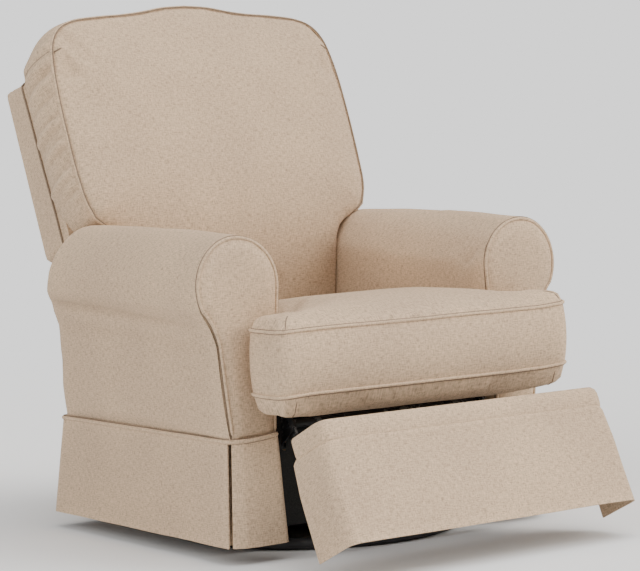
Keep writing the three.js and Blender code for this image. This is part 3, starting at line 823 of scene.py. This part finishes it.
def back_cushion():
    """The back cushion: a crowned front, boxing with folds across it, a welt and corner darts."""
    outline = back_outline()
    flat, triangles, distance = fill(outline, 0.011)
    crown = values_at(flat, 0.030 * dome(distance, 0.20))

    def front_place(p):
        u, v = p
        fade = 1 if v > 0 else max(0.35, 1 + v / 0.15)
        hollow = 0.014 * math.exp(-((abs(u) - 0.322) / 0.022) ** 2 - ((v - 0.38) / 0.06) ** 2)
        return on_back(u, v, front_seam(u, v) + crown(p) * fade - hollow)

    def rear_place(p):
        sag = 0.3 * crown(p) * (p[1] > 0.42)
        return on_back(*corner_cut(*p, 1), rear_seam(*p) - sag)

    rows = ribbon(outline, 14, back_boxing)
    shell = Shell().panel(flat, triangles, front_place).panel(flat, triangles, rear_place)
    shell.grid(rows, closed=True)
    piece = make("back_cushion_cover", shell, "back")
    inflate(piece, rows[0] + rows[-1], cap=0.008, pressure=3.0)
    crumple(piece, fold_depth)
    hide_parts("back_cushion")
    back_seams(piece, outline)


def back_seams(piece, outline):
    """The welt round the front, with a dart and the boxing's joining seam at each upper corner."""
    order = seam_run(outline, WELT_FOOT)
    origin = np.array(on_back(0, 0, 0))
    forward = np.array(on_back(0, 0, 1)) - origin
    outward = np.array([on_back(*normal, 0) for normal in outline_normals(outline)[order]]) - origin
    line = [on_back(*outline[i], front_seam(*outline[i])) for i in order]
    welt("back_welt", line, outward, forward, "back")
    for side, sign in SIDES.items():
        path = [on_back(sign * (0.346 - 0.017 * t), 0.419 + 0.007 * t, 0) for t in np.linspace(0, 1, 6)]
        line = on_surface(piece, path, -forward, -0.0002)
        # A thin dark tube: the dart's thread and the painted shade in its crease.
        tube(f"back_dart_{side}", line, 0.0019, "back", CREASE_SHADE_AND_THREAD)
        path = [on_back(sign * 0.35, 0.425 - 0.010 * t, -0.004 - 0.116 * t) for t in np.linspace(0, 1, 14)]
        line = on_surface(piece, path, (-sign, 0, 0), -0.0004)
        # A thin dark tube: the joining seam's thread and the painted shade in its crease.
        tube(f"back_boxing_seam_{side}", line, 0.0010, "back", CREASE_SHADE_AND_THREAD)


def outside_outline():
    """The outline of the outer frame: narrow between the arms, with wings over them, nearly flat on top."""
    side = [
        (0.248, -0.262), (0.249, -0.045), (0.256, -0.016), (0.275, 0.002), (0.310, 0.015), (0.340, 0.022),
        (0.356, 0.026), (0.361, 0.033), (0.361, 0.10), (0.361, 0.30), (0.361, 0.398), (0.357, 0.406),
        (0.335, 0.409), (0.20, 0.413), (0.0, 0.417),
    ]
    return spread(mirrored(side), 0.010)


def outside_back():
    """The upholstered outer frame behind the cushion: side band, softly turned rear edge, rear panel."""
    outline = outside_outline()
    outward = outline_normals(outline)
    turn = 0.006
    lift = 0.010 * np.clip((outline[:, 1] - 0.36) / 0.04, 0, 1)
    raised = outline + np.column_stack([np.zeros(len(outline)), lift])
    # The front edge and the turned rear edge, as steps (behind their plane, out of the outline).
    front_edge = [(-0.022, -0.006), (-0.010, -0.005), (-0.001, -0.001), (0.006, 0.0)]
    rear_edge = [(turn * math.sin(a), -turn * (1 - math.cos(a))) for a in np.linspace(0.3, math.pi / 2, 5)]
    rows = []
    for behind, out in front_edge:
        rows.append([on_back(*(p + n * out), boxing_rear(p[1]) - behind) for p, n in zip(outline, outward)])
    for t in np.linspace(0.15, 1, 6):
        row = []
        for low, high, n in zip(outline, raised, outward):
            start, end = boxing_rear(low[1]) - front_edge[-1][0], frame_rear(low[1]) + turn
            soft = 0.0012 * sway((low[0], low[1], t), 0.05, 31)
            row.append(on_back(*(low * (1 - t) + high * t + n * soft), start * (1 - t) + end * t))
        rows.append(row)
    for behind, out in rear_edge:
        rows.append([on_back(*(p + n * out), frame_rear(p[1]) + turn - behind)
                     for p, n in zip(raised, outward)])
    shell = Shell().grid(rows, closed=True)
    flat, triangles, _ = fill(outline + outward * front_edge[0][1], 0.030)
    shell.panel(flat, triangles, lambda p: on_back(*p, boxing_rear(p[1]) - front_edge[0][0]))
    flat, triangles, distance = fill(raised + outward * rear_edge[-1][1], 0.014)
    sag = values_at(flat, 0.004 * dome(distance, 0.12))
    shell.panel(flat, triangles, lambda p: on_back(*p, frame_rear(p[1]) - sag(p)))
    piece = make("outside_back_cover", shell, "back")
    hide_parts("outside_back")
    edge = [on_back(*(raised[i] - outward[i] * 0.003), frame_rear(outline[i][1]) + 0.0035)
            for i in seam_run(outline, -0.23)]
    tube("outside_back_welt", edge, 0.0028, "back")
    # A thin dark tube of painted shade in the crease along the boxing's rear seam.
    crease = [on_back(*(outline[i] + outward[i] * 0.0006), boxing_rear(outline[i][1]) + 0.001)
              for i in seam_run(outline, WELT_FOOT)]
    tube("outside_back_crease", crease, 0.0022, "back", CREASE_SHADE_AND_THREAD)


# ---- arms -------------------------------------------------------------------------------------

ARM = {
    "front": -0.264, "bottom": 0.2305, "inner": 0.267, "outer": 0.369, "roll_x": 0.344, "roll_z": 0.522,
    "radius": 0.0955, "edge": 0.009,
}


def arm_profile(radius, lift=0.0, pinch=0.0, slack=0.0):
    """One cross-section of the left arm, (x, z), from its inner bottom over the roll to the outside."""
    x0, z0 = ARM["roll_x"], ARM["roll_z"] + lift
    inner_foot, outer_foot, bottom = ARM["inner"], ARM["outer"], ARM["bottom"]
    inner_top = x0 - radius * (1 - slack)
    inner = [(inner_foot + (inner_top - inner_foot) * t ** 1.15, bottom + (z0 - bottom) * t)
             for t in np.linspace(0, 1, 19)[:-1]]
    roll = []
    for a in np.radians(np.linspace(180, -28, 40)):
        squeeze = 0.935 if math.cos(a) > 0 else 1 - slack
        roll.append((x0 + radius * math.cos(a) * squeeze, z0 + radius * math.sin(a)))
    neck, foot = Vector((0.3885 - pinch, 0.408 + lift)), Vector((outer_foot, bottom))
    under_roll, waist = Vector((0.3965 - pinch, 0.449 + lift)), Vector((0.3805, 0.325))
    outer = [bend(Vector(roll[-1]), under_roll, neck, t) for t in np.linspace(0, 1, 11)[1:]]
    outer += [bend(neck, waist, foot, t) for t in np.linspace(0, 1, 17)[1:]]
    under = [(outer_foot + (inner_foot - outer_foot) * t, bottom) for t in np.linspace(0, 1, 9)[1:-1]]
    return np.array(inner + roll + outer + under)


def arm_rear(z):
    """Where the arm ends at a height: the roll stops short so that the back can recline."""
    heights = [0.30, 0.354, 0.405, 0.455, 0.478, 0.50, 0.525, 0.56, 0.62]
    ends = [0.388, 0.379, 0.378, 0.381, 0.370, 0.353, 0.338, 0.327, 0.322]
    return float(np.interp(z, heights, ends))


def arm_ring(part, t, turned, sign):
    """The points round an arm at t of its length, drawn in where its front or rear is turned over."""
    front, edge = ARM["front"], ARM["edge"]
    rise = math.sin(min(1, t * 1.15) * math.pi / 2)
    profile = arm_profile(ARM["radius"] - 0.0035 * t, 0.019 * rise, 0.003 * rise, 0.13 * rise)
    ring = []
    for (x, z), (nx, nz) in zip(profile, outline_normals(profile)):
        rear = arm_rear(z)
        tail = float(np.interp(z, [0.40, 0.50, 0.54, 0.60], [0.020, 0.024, 0.032, 0.052]))
        y = front + edge + (rear - tail - front - edge) * t
        inset = 0.0
        if part == "front":
            inset = edge * (1 - math.sin(turned))
            y = front + inset + 0.0005
        if part == "rear":
            inset = tail * (1 - math.cos(turned)) * 0.85
            y = rear - tail * (1 - math.sin(turned))
        if z < ARM["bottom"] + 0.001:
            inset *= 0.2
        soft = 0.0022 * sway((x, y, z), 0.11, 41 + sign) * (z >= ARM["bottom"] + 0.004)
        crease = math.exp(-((z - 0.446 - 0.030 * t) / 0.010) ** 2) * (x > ARM["roll_x"])
        dent = 0.0095 * crease * np.interp(t, [0.0, 0.3, 0.85, 1.0], [0.0, 0.4, 1.0, 0.3])
        out = soft - inset - dent
        ring.append((sign * (x + nx * out), y, z + nz * out))
    return ring


def arm_cover(side, sign):
    """The cloth round an arm, turned over at its front and its rear."""
    quarter = math.pi / 2
    rows = [arm_ring("front", 0.0, angle, sign) for angle in np.linspace(0, quarter, 6)]
    rows += [arm_ring("middle", t, 0.0, sign) for t in np.linspace(0, 1, 44)[1:]]
    rows += [arm_ring("rear", 1.0, angle, sign) for angle in np.linspace(0, quarter, 9)[1:]]
    shell = Shell().grid(rows, closed=True)
    close_end(shell, rows[0], 0.016)
    close_end(shell, rows[-1], 0.014)
    piece = make(f"arm_cover_{side}", shell, "seat_body")
    inflate(piece, rows[0] + rows[1], cap=0.005, pressure=1.5, frames=12)
    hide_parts(f"arm_pad_{side}")


def close_end(shell, loop, spacing):
    """Fills an end loop whose points share no plane: flat in (x, z), with y taken from the loop."""
    loop = np.array(loop)
    flat, triangles, _ = fill(loop[:, [0, 2]], spacing)
    order = np.argsort(loop[:, 2])

    def place(p):
        gaps = np.abs(loop[:, 0] - p[0]) + np.abs(loop[:, 2] - p[1])
        near = int(np.argmin(gaps))
        if gaps[near] < SAME_POINT / 2:
            return tuple(loop[near])
        return (p[0], float(np.interp(p[1], loop[order, 2], loop[order, 1])), p[1])

    shell.panel(flat, triangles, place)


def arm_front(side, sign):
    """The flat front panel of an arm inside its welt, its rim let into the arm's rounded front."""
    profile = arm_profile(ARM["radius"]) * (sign, 1)
    rim = spread(profile - outline_normals(profile) * 0.0045, 0.008)
    flat, triangles, distance = fill(rim, 0.012)
    rim_y = ARM["front"] + 0.0022
    swell = values_at(flat, 0.0085 * dome(distance, 0.03))
    shell = Shell().panel(flat, triangles, lambda p: (p[0], rim_y - swell(p), p[1]))
    piece = make(f"arm_front_{side}", shell, "seat_body", thick=0.003)
    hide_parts(f"arm_panel_{side}")
    order = seam_run(rim, ARM["bottom"] + 0.006)
    line = [(rim[i][0], rim_y - 0.0018, rim[i][1]) for i in order]
    outward = np.insert(outline_normals(rim)[order], 1, 0.0, axis=1)
    welt(f"arm_welt_{side}", line, np.array((0.0, -1.0, 0.0)), outward, "seat_body", shaded=-1)


# ---- skirt ------------------------------------------------------------------------------------

SEAM_Z = 0.230
HEM_Z = 0.033
CORNER = (0.3715, -0.2615)
HEM_CORNER = (0.3885, -0.2735)
REAR = 0.386
HEM_REAR = 0.411


def seam_lift(x, y):
    """The skirt's seam rises a little on the arm's front, towards the seat."""
    on_front = y < CORNER[1] + 0.02
    return 0.006 * on_front * clamp((0.345 - abs(x)) / 0.07) ** 1.5


def hanging_cloth(name, top, hem, replaced=None, sign=1, seed=0, ripple=0.004):
    """A skirt panel between a top line and a hem line in plan, with soft ripples near the hem."""
    count, levels = 60, 22
    top = evenly(top, count) * (sign, 1)
    hem = evenly(hem, count) * (sign, 1)
    outward = line_normals(hem)
    rows = []
    for t in np.arange(levels + 1) / levels:
        row = []
        for i in range(count + 1):
            x, y = top[i] * (1 - t) + hem[i] * t
            wave = ripple * t ** 1.5 * sway((x, y, 0.2 * t), 0.16, seed) * 1.6
            wave *= min(1, 6 * min(i, count - i) / count)
            x, y = x + outward[i][0] * wave, y + outward[i][1] * wave
            row.append((x, y, SEAM_Z + (HEM_Z - SEAM_Z) * t + seam_lift(x, y) * (1 - t)))
        rows.append(row)
    piece = make(name, Shell().grid(rows), "seat_body", thick=0.0026)
    length = float(np.linalg.norm(np.diff(hem, axis=0), axis=1).sum())
    if replaced:
        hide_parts(replaced)


def front_line(inner, end, y, bow):
    """The front skirt's line in plan: bowed forward from the slit, turned back at its inner end."""
    line = [(inner - 0.002, y - bow + 0.018), (inner - 0.002, y - bow + 0.006)]
    for t in (0.06, 0.3, 0.6, 0.8, 0.93, 1.0):
        bowed = bow * math.sin(math.pi / 2 * min(1, 3.2 * (1 - t)))
        line.append((inner + (end - inner) * t, y - bowed))
    return line


def side_line(x, y, rear, corner, bevel):
    """The side skirt's line in plan: along the side, then round the rear corner."""
    return [(x, y), (x, rear - corner), (x - bevel, rear - bevel), (x - corner, rear)]


def pleat_line(x, y, reach):
    """The cloth behind the slit at a front corner: in from both skirts and across between them."""
    inset, gap = 0.034, 0.003
    return [
        (x - reach - 0.004, y + gap), (x - reach, y + inset), (x - inset, y + inset),
        (x - gap, y + 0.046), (x - gap, y + 0.052),
    ]


def skirts():
    """Side, front and rear skirts, with an open pleat at each front corner backed by more cloth."""
    (cx, cy), (hx, hy) = CORNER, HEM_CORNER
    inner = ARM["inner"]
    for side, sign in SIDES.items():
        top = [(cx - 0.0005, cy + 0.007), *side_line(cx, cy + 0.012, REAR, 0.012, 0.003)]
        hem = [(hx - 0.001, hy + 0.003), *side_line(hx, hy + 0.010, HEM_REAR, 0.014, 0.004)]
        hanging_cloth(f"skirt_side_{side}", top, hem, f"skirt_{side}", sign, seed=5 + sign)
        top = front_line(inner + 0.002, cx - 0.0040, cy, 0.0105)
        hem = front_line(inner - 0.002, hx - 0.0075, hy, 0.0160)
        hanging_cloth(f"skirt_front_{side}", top, hem, None, sign, seed=9 + sign, ripple=0.002)
        top, hem = pleat_line(cx, cy, 0.046), pleat_line(hx, hy, 0.050)
        hanging_cloth(f"skirt_pleat_{side}", top, hem, None, sign, seed=2, ripple=0.0)
    top = [(sign * (cx - 0.0125), REAR + 0.001) for sign in (1, -1)]
    hem = [(sign * (hx - 0.0145), HEM_REAR + 0.001) for sign in (1, -1)]
    hanging_cloth("skirt_back_cloth", top, hem, "skirt_rear", seed=21, ripple=0.006)


def skirt_welt():
    """The welt in the seam between the body and the skirt, all round but for the open front."""
    x, y, rear, corner = CORNER[0] + 0.0005, CORNER[1] - 0.0005, REAR + 0.001, 0.010
    front = front_line(ARM["inner"] + 0.001, x - 0.004, y, 0.0110)[1:]
    half = [*front, (x - 0.001, y + 0.003), *side_line(x, y + corner, rear, corner, 0.003)]
    line = spread([(a, b, SEAM_Z + 0.001) for a, b in mirrored(half)], 0.008, closed=False)
    line[:, 2] += [seam_lift(a, b) + 0.0012 * sway((a, b, 0), 0.12, 61) for a, b in line[:, :2]]
    tube("skirt_welt", line, 0.0042, "seat_body")
    # Thin dark tubes of painted shade in the creases just above and below the welt.
    for word, way in (("upper", 0.0042), ("lower", -0.0044)):
        tube(f"skirt_{word}_crease", line + (0, 0, way), 0.0011, "seat_body", CREASE_SHADE_AND_THREAD, sides=6)


def rear_panel():
    """The padded strip between the arms above the rear skirt."""
    rear = 0.382
    shell = pad(
        half=0.2645, heights=(SEAM_Z + 0.002, 0.274), radii=(0.004, 0.010), spacing=(0.008, 0.012),
        crown=(0.006, 0.02), thick=0.012, layers=3, place=lambda x, z, depth: (x, rear - depth, z))
    piece = make("rear_panel_cover", shell, "seat_body")
    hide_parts("rear_panel")


# ---- footrest ---------------------------------------------------------------------------------

FOOT_LEAN = math.radians(25)
FOOT_PLACE = (-0.497, 0.288)
FOOT_ASIDE = 0.0025
FOOT = {"half": 0.333, "height": 0.236, "band": 0.043, "return": 0.100, "corner": 0.022}


def on_footrest(x, down, behind):
    """A point given across the footrest's face, down it and behind it, in the chair's frame."""
    y0, z0 = FOOT_PLACE
    y = y0 - down * math.sin(FOOT_LEAN) + behind * math.cos(FOOT_LEAN)
    return (x + FOOT_ASIDE, y, z0 - down * math.cos(FOOT_LEAN) - behind * math.sin(FOOT_LEAN))


def footrest_plan(grow, depth):
    """The cover's line seen down its face: side return, rounded corner, face, and back again."""
    half, corner = FOOT["half"] + grow, FOOT["corner"]
    side = [(half, depth), (half, depth * 0.6)]
    for a in np.linspace(0, math.pi / 2, 9):
        side.append((half - corner * (1 - math.cos(a)), corner * (1 - math.sin(a))))
    return evenly(mirrored(side), 150)


def footrest_band():
    """The upper band, padded over the board's edge, turned over the top and closed there."""
    half, band = FOOT["half"], FOOT["band"]
    # Steps down the band: how far down, and how far the cloth is drawn in there.
    levels = (
        (0.012, 0.022), (0.003, 0.016), (0.0, 0.009), (0.0015, 0.004), (0.006, 0.001), (0.014, 0.0),
        (0.024, 0.0), (0.034, 0.0), (band - 0.004, 0.0005), (band - 0.001, 0.002), (band + 0.002, 0.005),
    )
    rows = []
    for down, inset in levels:
        row = []
        for x, behind in footrest_plan(0, FOOT["return"]):
            on_face = abs(x) <= half - 1e-4
            swell = 0.003 * math.sin(math.pi * min(1, down / band))
            row.append(on_footrest(x * (1 - inset / half), down, behind + (inset - swell) * on_face))
        rows.append(row)
    piece = make("footrest_band", Shell().grid(rows), "footrest", thick=0.003)


def cover_row(down, grow, depth, crown, wave):
    """One line of the cover's cloth, crowned over its face and waved all along."""
    row = []
    for x, behind in footrest_plan(grow, depth):
        face = max(0.0, 1 - (x / (FOOT["half"] - 0.02)) ** 6) if behind < 0.004 else 0.0
        row.append(on_footrest(x, down, behind - crown * face + wave * sway((x, down, behind), 0.10, 71)))
    return row


def footrest_cover():
    """The cloth that hangs from the band, flared a little, with its sides turned back."""
    half, band, height, depth = FOOT["half"], FOOT["band"], FOOT["height"], FOOT["return"]
    rows = [
        cover_row(band - 0.003, -0.003, depth + 0.006, 0.0, 0.0),
        cover_row(band + 0.001, -0.0005, depth + 0.008, 0.001, 0.0),
    ]
    for t in np.linspace(0.03, 1, 22):
        grow = 0.002 + 0.005 * min(1.0, 3 * t)
        crown = 0.004 * math.sin(math.pi * t) + 0.002 * t
        rows.append(cover_row(band + (height - band) * t, grow, depth + 0.010 + 0.004 * t, crown, 0.0035 * t))
    piece = make("footrest_cover", Shell().grid(rows), "footrest", thick=0.0028)
    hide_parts("footrest_skirt")


def footrest_padding():
    """The foam behind the cover, under black lining."""
    face = 0.0095
    shell = pad(
        half=0.320, heights=(0.008, 0.228), radii=(0.02, 0.02), spacing=(0.012, 0.02), crown=(0.004, 0.03),
        thick=0.014, layers=2, place=lambda x, down, depth: on_footrest(x, down, face + depth))
    piece = make("footrest_padding", shell, "footrest", LINING)
    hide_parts("footrest_pad")


# ---- base and hidden cloths -------------------------------------------------------------------


def floor_ring():
    """The round steel tube that the chair stands on."""
    radius = (ring_high[2] - ring_low[2]) / 2
    middle = (ring_high[0] - ring_low[0]) / 2 - radius
    rows = []
    for a in np.linspace(0, 2 * math.pi, 120, endpoint=False):
        row = []
        for b in np.linspace(0, 2 * math.pi, 20, endpoint=False):
            reach = middle + radius * math.cos(b)
            row.append((reach * math.cos(a), reach * math.sin(a), radius + radius * math.sin(b)))
        rows.append(row)
    shell = Shell().grid([*rows, rows[0]], closed=True)
    piece = make("floor_ring", shell, "base", ("black_steel", STEEL), smooth=80)
    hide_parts("base_ring")


def seat_deck():
    """Black cloth over the springs, sagging a little between them."""
    half, front, rear, level, sag = 0.228, -0.262, 0.224, 0.2815, 0.003
    profile = [(x, level - sag * math.cos(math.pi * x / (2 * half))) for x in np.linspace(-half, half, 24)]
    rows = [[(x, y, z) for x, z in profile] for y in np.linspace(front, rear, 24)]
    # Near black, it also stands in for the shade under the cushion.
    piece = make("seat_deck_cloth", Shell().grid(rows), "seat_body", LINING, thick=0.0015)


def dust_curtain():
    """Black cloth hung from the front seat rail, in strips between and outside the mechanism's plates."""
    low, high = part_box("seat_rail_front")
    front = low[1] - AXIS_Y - 0.003
    outer_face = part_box("mechanism_plate_left")[1][0]
    strips = {
        "middle": (-high[0] + 0.006, high[0] - 0.006, 70),
        "left": (outer_face + 0.002, ARM["inner"] - 0.002, 12),
        "right": (-ARM["inner"] + 0.002, -outer_face - 0.002, 12),
    }
    top, rail_foot, plate_nose, bottom = high[2] - 0.003, low[2], 0.195, 0.048
    slope = 0.0315
    for word, (start, end, count) in strips.items():
        flap = 0.0 if word == "middle" else 0.018
        rows = []
        for z in np.linspace(top, bottom, 26):
            tucked = flap if z < plate_nose else 0.0
            near = start - tucked * (word == "left")
            far = end + tucked * (word == "right")
            hang = front + slope * max(0.0, (rail_foot - z) / (rail_foot - bottom))
            rows.append([(x, hang + 0.0006 * math.sin(x * 55), z) for x in np.linspace(near, far, count)])
        # Near black, the strips also stand in for the shade under the seat.
        piece = make(f"dust_curtain_{word}", Shell().grid(rows), "seat_body", LINING, thick=0.0012)


def build_chair():
    seat_cushion()
    back_cushion()
    outside_back()
    for side, sign in SIDES.items():
        arm_cover(side, sign)
        arm_front(side, sign)
    skirts()
    skirt_welt()
    rear_panel()
    footrest_band()
    footrest_cover()
    footrest_padding()
    floor_ring()
    seat_deck()
    dust_curtain()


build_chair()

# ---- studio -----------------------------------------------------------------------------------

FLOOR = 0.84
ROOM = 0.22


def add_floor(level):
    """A pale floor that turns into the backdrop's own light further off, so that no horizon shows."""
    reach, drop = 60, 0.0005
    mesh = bpy.data.meshes.new("floor")
    corners = ((-reach, -reach), (reach, -reach), (reach, reach), (-reach, reach))
    mesh.from_pydata([(x, y, -drop) for x, y in corners], [], [(0, 1, 2, 3)])
    n = Nodes("studio_floor")
    n.shade(Base_Color=(FLOOR, FLOOR, FLOOR), Roughness=1.0, Specular_IOR_Level=0.0)
    distance = n.add("ShaderNodeVectorMath", operation="LENGTH")
    n.link(n.object_place(), distance.inputs[0])
    far = n.add("ShaderNodeMapRange", interpolation_type="SMOOTHSTEP")
    sockets = [far.inputs[name] for name in ("From Min", "From Max", "Value")]
    n.feed(sockets, (1.5, 5.0, distance.outputs["Value"]))
    glow = n.add("ShaderNodeEmission")
    glow.inputs["Strength"].default_value = level
    choice = n.add("ShaderNodeMixShader")
    n.feed(choice.inputs, (far.outputs["Result"], n.shader.outputs[0], glow.outputs[0]))
    output = next(node for node in n.tree.nodes if node.type == "OUTPUT_MATERIAL")
    n.link(choice.outputs[0], output.inputs["Surface"])
    mesh.materials.append(n.material)
    add_object("floor", mesh)


def add_sun(name, towards, strength, spread_angle, colour):
    """A wide soft source, far away, so that the floor is lit evenly. Returns the light the floor gets."""
    data = bpy.data.lights.new(name, "SUN")
    data.energy = strength
    data.angle = math.radians(spread_angle)
    data.color = colour
    towards = Vector(towards).normalized()
    add_object(name, data).rotation_euler = towards.to_track_quat("Z", "Y").to_euler()
    return strength * towards.z / math.pi


def add_studio():
    """A soft room of pale light in front of a backdrop as bright as the floor."""
    level = ROOM
    level += add_sun("key", (3.4, -3.6, 2.4), 2.7, 34, (1.0, 0.96, 0.90))
    level += add_sun("side", (-4.2, -0.7, 2.2), 2.0, 60, (1.0, 0.99, 0.97))
    level += add_sun("top", (0.1, -0.3, 1.0), 2.5, 60, (1.0, 1.0, 1.0))
    world = bpy.data.worlds.new("studio")
    bpy.context.scene.world = world
    world.use_nodes = True
    tree = world.node_tree
    room = tree.nodes["Background"]
    backdrop = tree.nodes.new("ShaderNodeBackground")
    for light, strength in ((room, ROOM), (backdrop, FLOOR * level)):
        light.inputs["Strength"].default_value = strength
        light.inputs["Color"].default_value = (1, 1, 1, 1)
    seen = tree.nodes.new("ShaderNodeLightPath")
    choice = tree.nodes.new("ShaderNodeMixShader")
    sources = (seen.outputs["Is Camera Ray"], room.outputs[0], backdrop.outputs[0])
    for source, socket in zip(sources, choice.inputs):
        tree.links.new(source, socket)
    tree.links.new(choice.outputs[0], tree.nodes["World Output"].inputs[0])
    add_floor(FLOOR * level)


add_studio()
